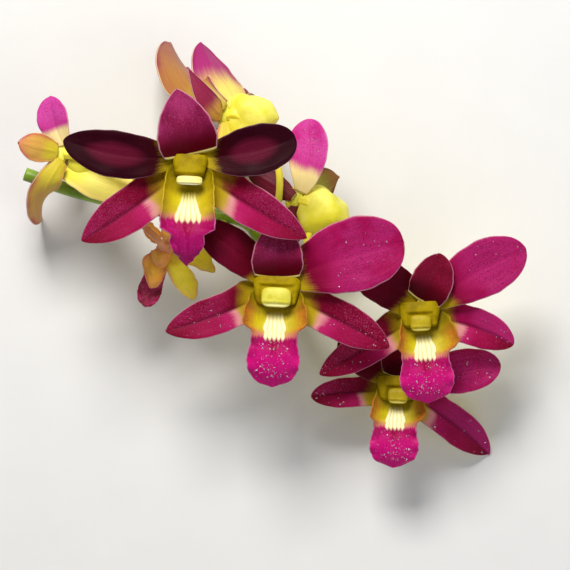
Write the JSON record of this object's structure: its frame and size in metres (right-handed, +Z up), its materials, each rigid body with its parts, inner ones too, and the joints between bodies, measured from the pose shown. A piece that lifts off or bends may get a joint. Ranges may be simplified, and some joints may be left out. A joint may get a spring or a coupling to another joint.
{
  "type": "dendrobium orchid flower spray",
  "caption": "Cut spray of dendrobium orchid blooms lying on its back, open faces up, petals and lips round a curved green stem.",
  "frame": {"origin": "middle of the bounding box on the surface that the spray lies on", "axes": "+Z up from the surface, towards the faces of the open blooms; +Y up the picture, from the lips to the upper sepals; +X to the picture's right, from the cut end of the stem to its tip"},
  "size_m": [0.1578, 0.1348, 0.0589],
  "materials": {
    "stem": "fresh green, slightly waxy",
    "sepal": "velvety magenta front, yellow back, thin pale pink rim",
    "petal": "velvety magenta front, yellow back, thin pale pink rim",
    "dark_sepal": "velvety dark maroon front, yellow back",
    "dark_petal": "velvety dark maroon front, yellow back",
    "wilted": "limp orange-yellow, faded",
    "lip": "vivid magenta tongue, cream striped callus, olive yellow side lobes",
    "column": "waxy olive yellow with a cream anther cap"
  },
  "bodies": {
    "root": {"flower_stem": "stem", "bloom_a_dorsal_sepal": "dark_sepal", "bloom_a_petal_left": "dark_petal", "bloom_a_petal_right": "dark_petal", "bloom_a_lateral_sepals": "dark_sepal", "bloom_a_lip": "lip", "bloom_a_column": "column", "bloom_b_dorsal_sepal": "sepal", "bloom_b_petal_left": "petal", "bloom_b_petal_right": "petal", "bloom_b_lateral_sepals": "sepal", "bloom_b_lip": "lip", "bloom_b_column": "column", "bloom_c_dorsal_sepal": "sepal", "bloom_c_petal_left": "petal", "bloom_c_petal_right": "petal", "bloom_c_lateral_sepals": "sepal", "bloom_c_lip": "lip", "bloom_c_column": "column", "bloom_d_dorsal_sepal": "sepal", "bloom_d_petal_left": "petal", "bloom_d_petal_right": "petal", "bloom_d_lateral_sepals": "sepal", "bloom_d_lip": "lip", "bloom_d_column": "column", "bloom_e_dorsal_sepal": "sepal", "bloom_e_petal_left": "petal", "bloom_e_petal_right": "petal", "bloom_e_lateral_sepals": "sepal", "bloom_e_lip": "lip", "bloom_e_column": "column", "bloom_f_dorsal_sepal": "sepal", "bloom_f_petal_left": "petal", "bloom_f_petal_right": "petal", "bloom_f_lateral_sepals": "sepal", "bloom_f_lip": "lip", "bloom_f_column": "column", "bloom_g_dorsal_sepal": "sepal", "bloom_g_petal_left": "petal", "bloom_g_petal_right": "petal", "bloom_g_lateral_sepals": "sepal", "bloom_g_lip": "lip", "bloom_g_column": "column", "bloom_h_dorsal_sepal": "wilted", "bloom_h_petal_left": "wilted", "bloom_h_petal_right": "wilted", "bloom_h_lateral_sepals": "wilted", "bloom_h_lip": "lip", "bloom_h_column": "column"}
  },
  "joints": []
}
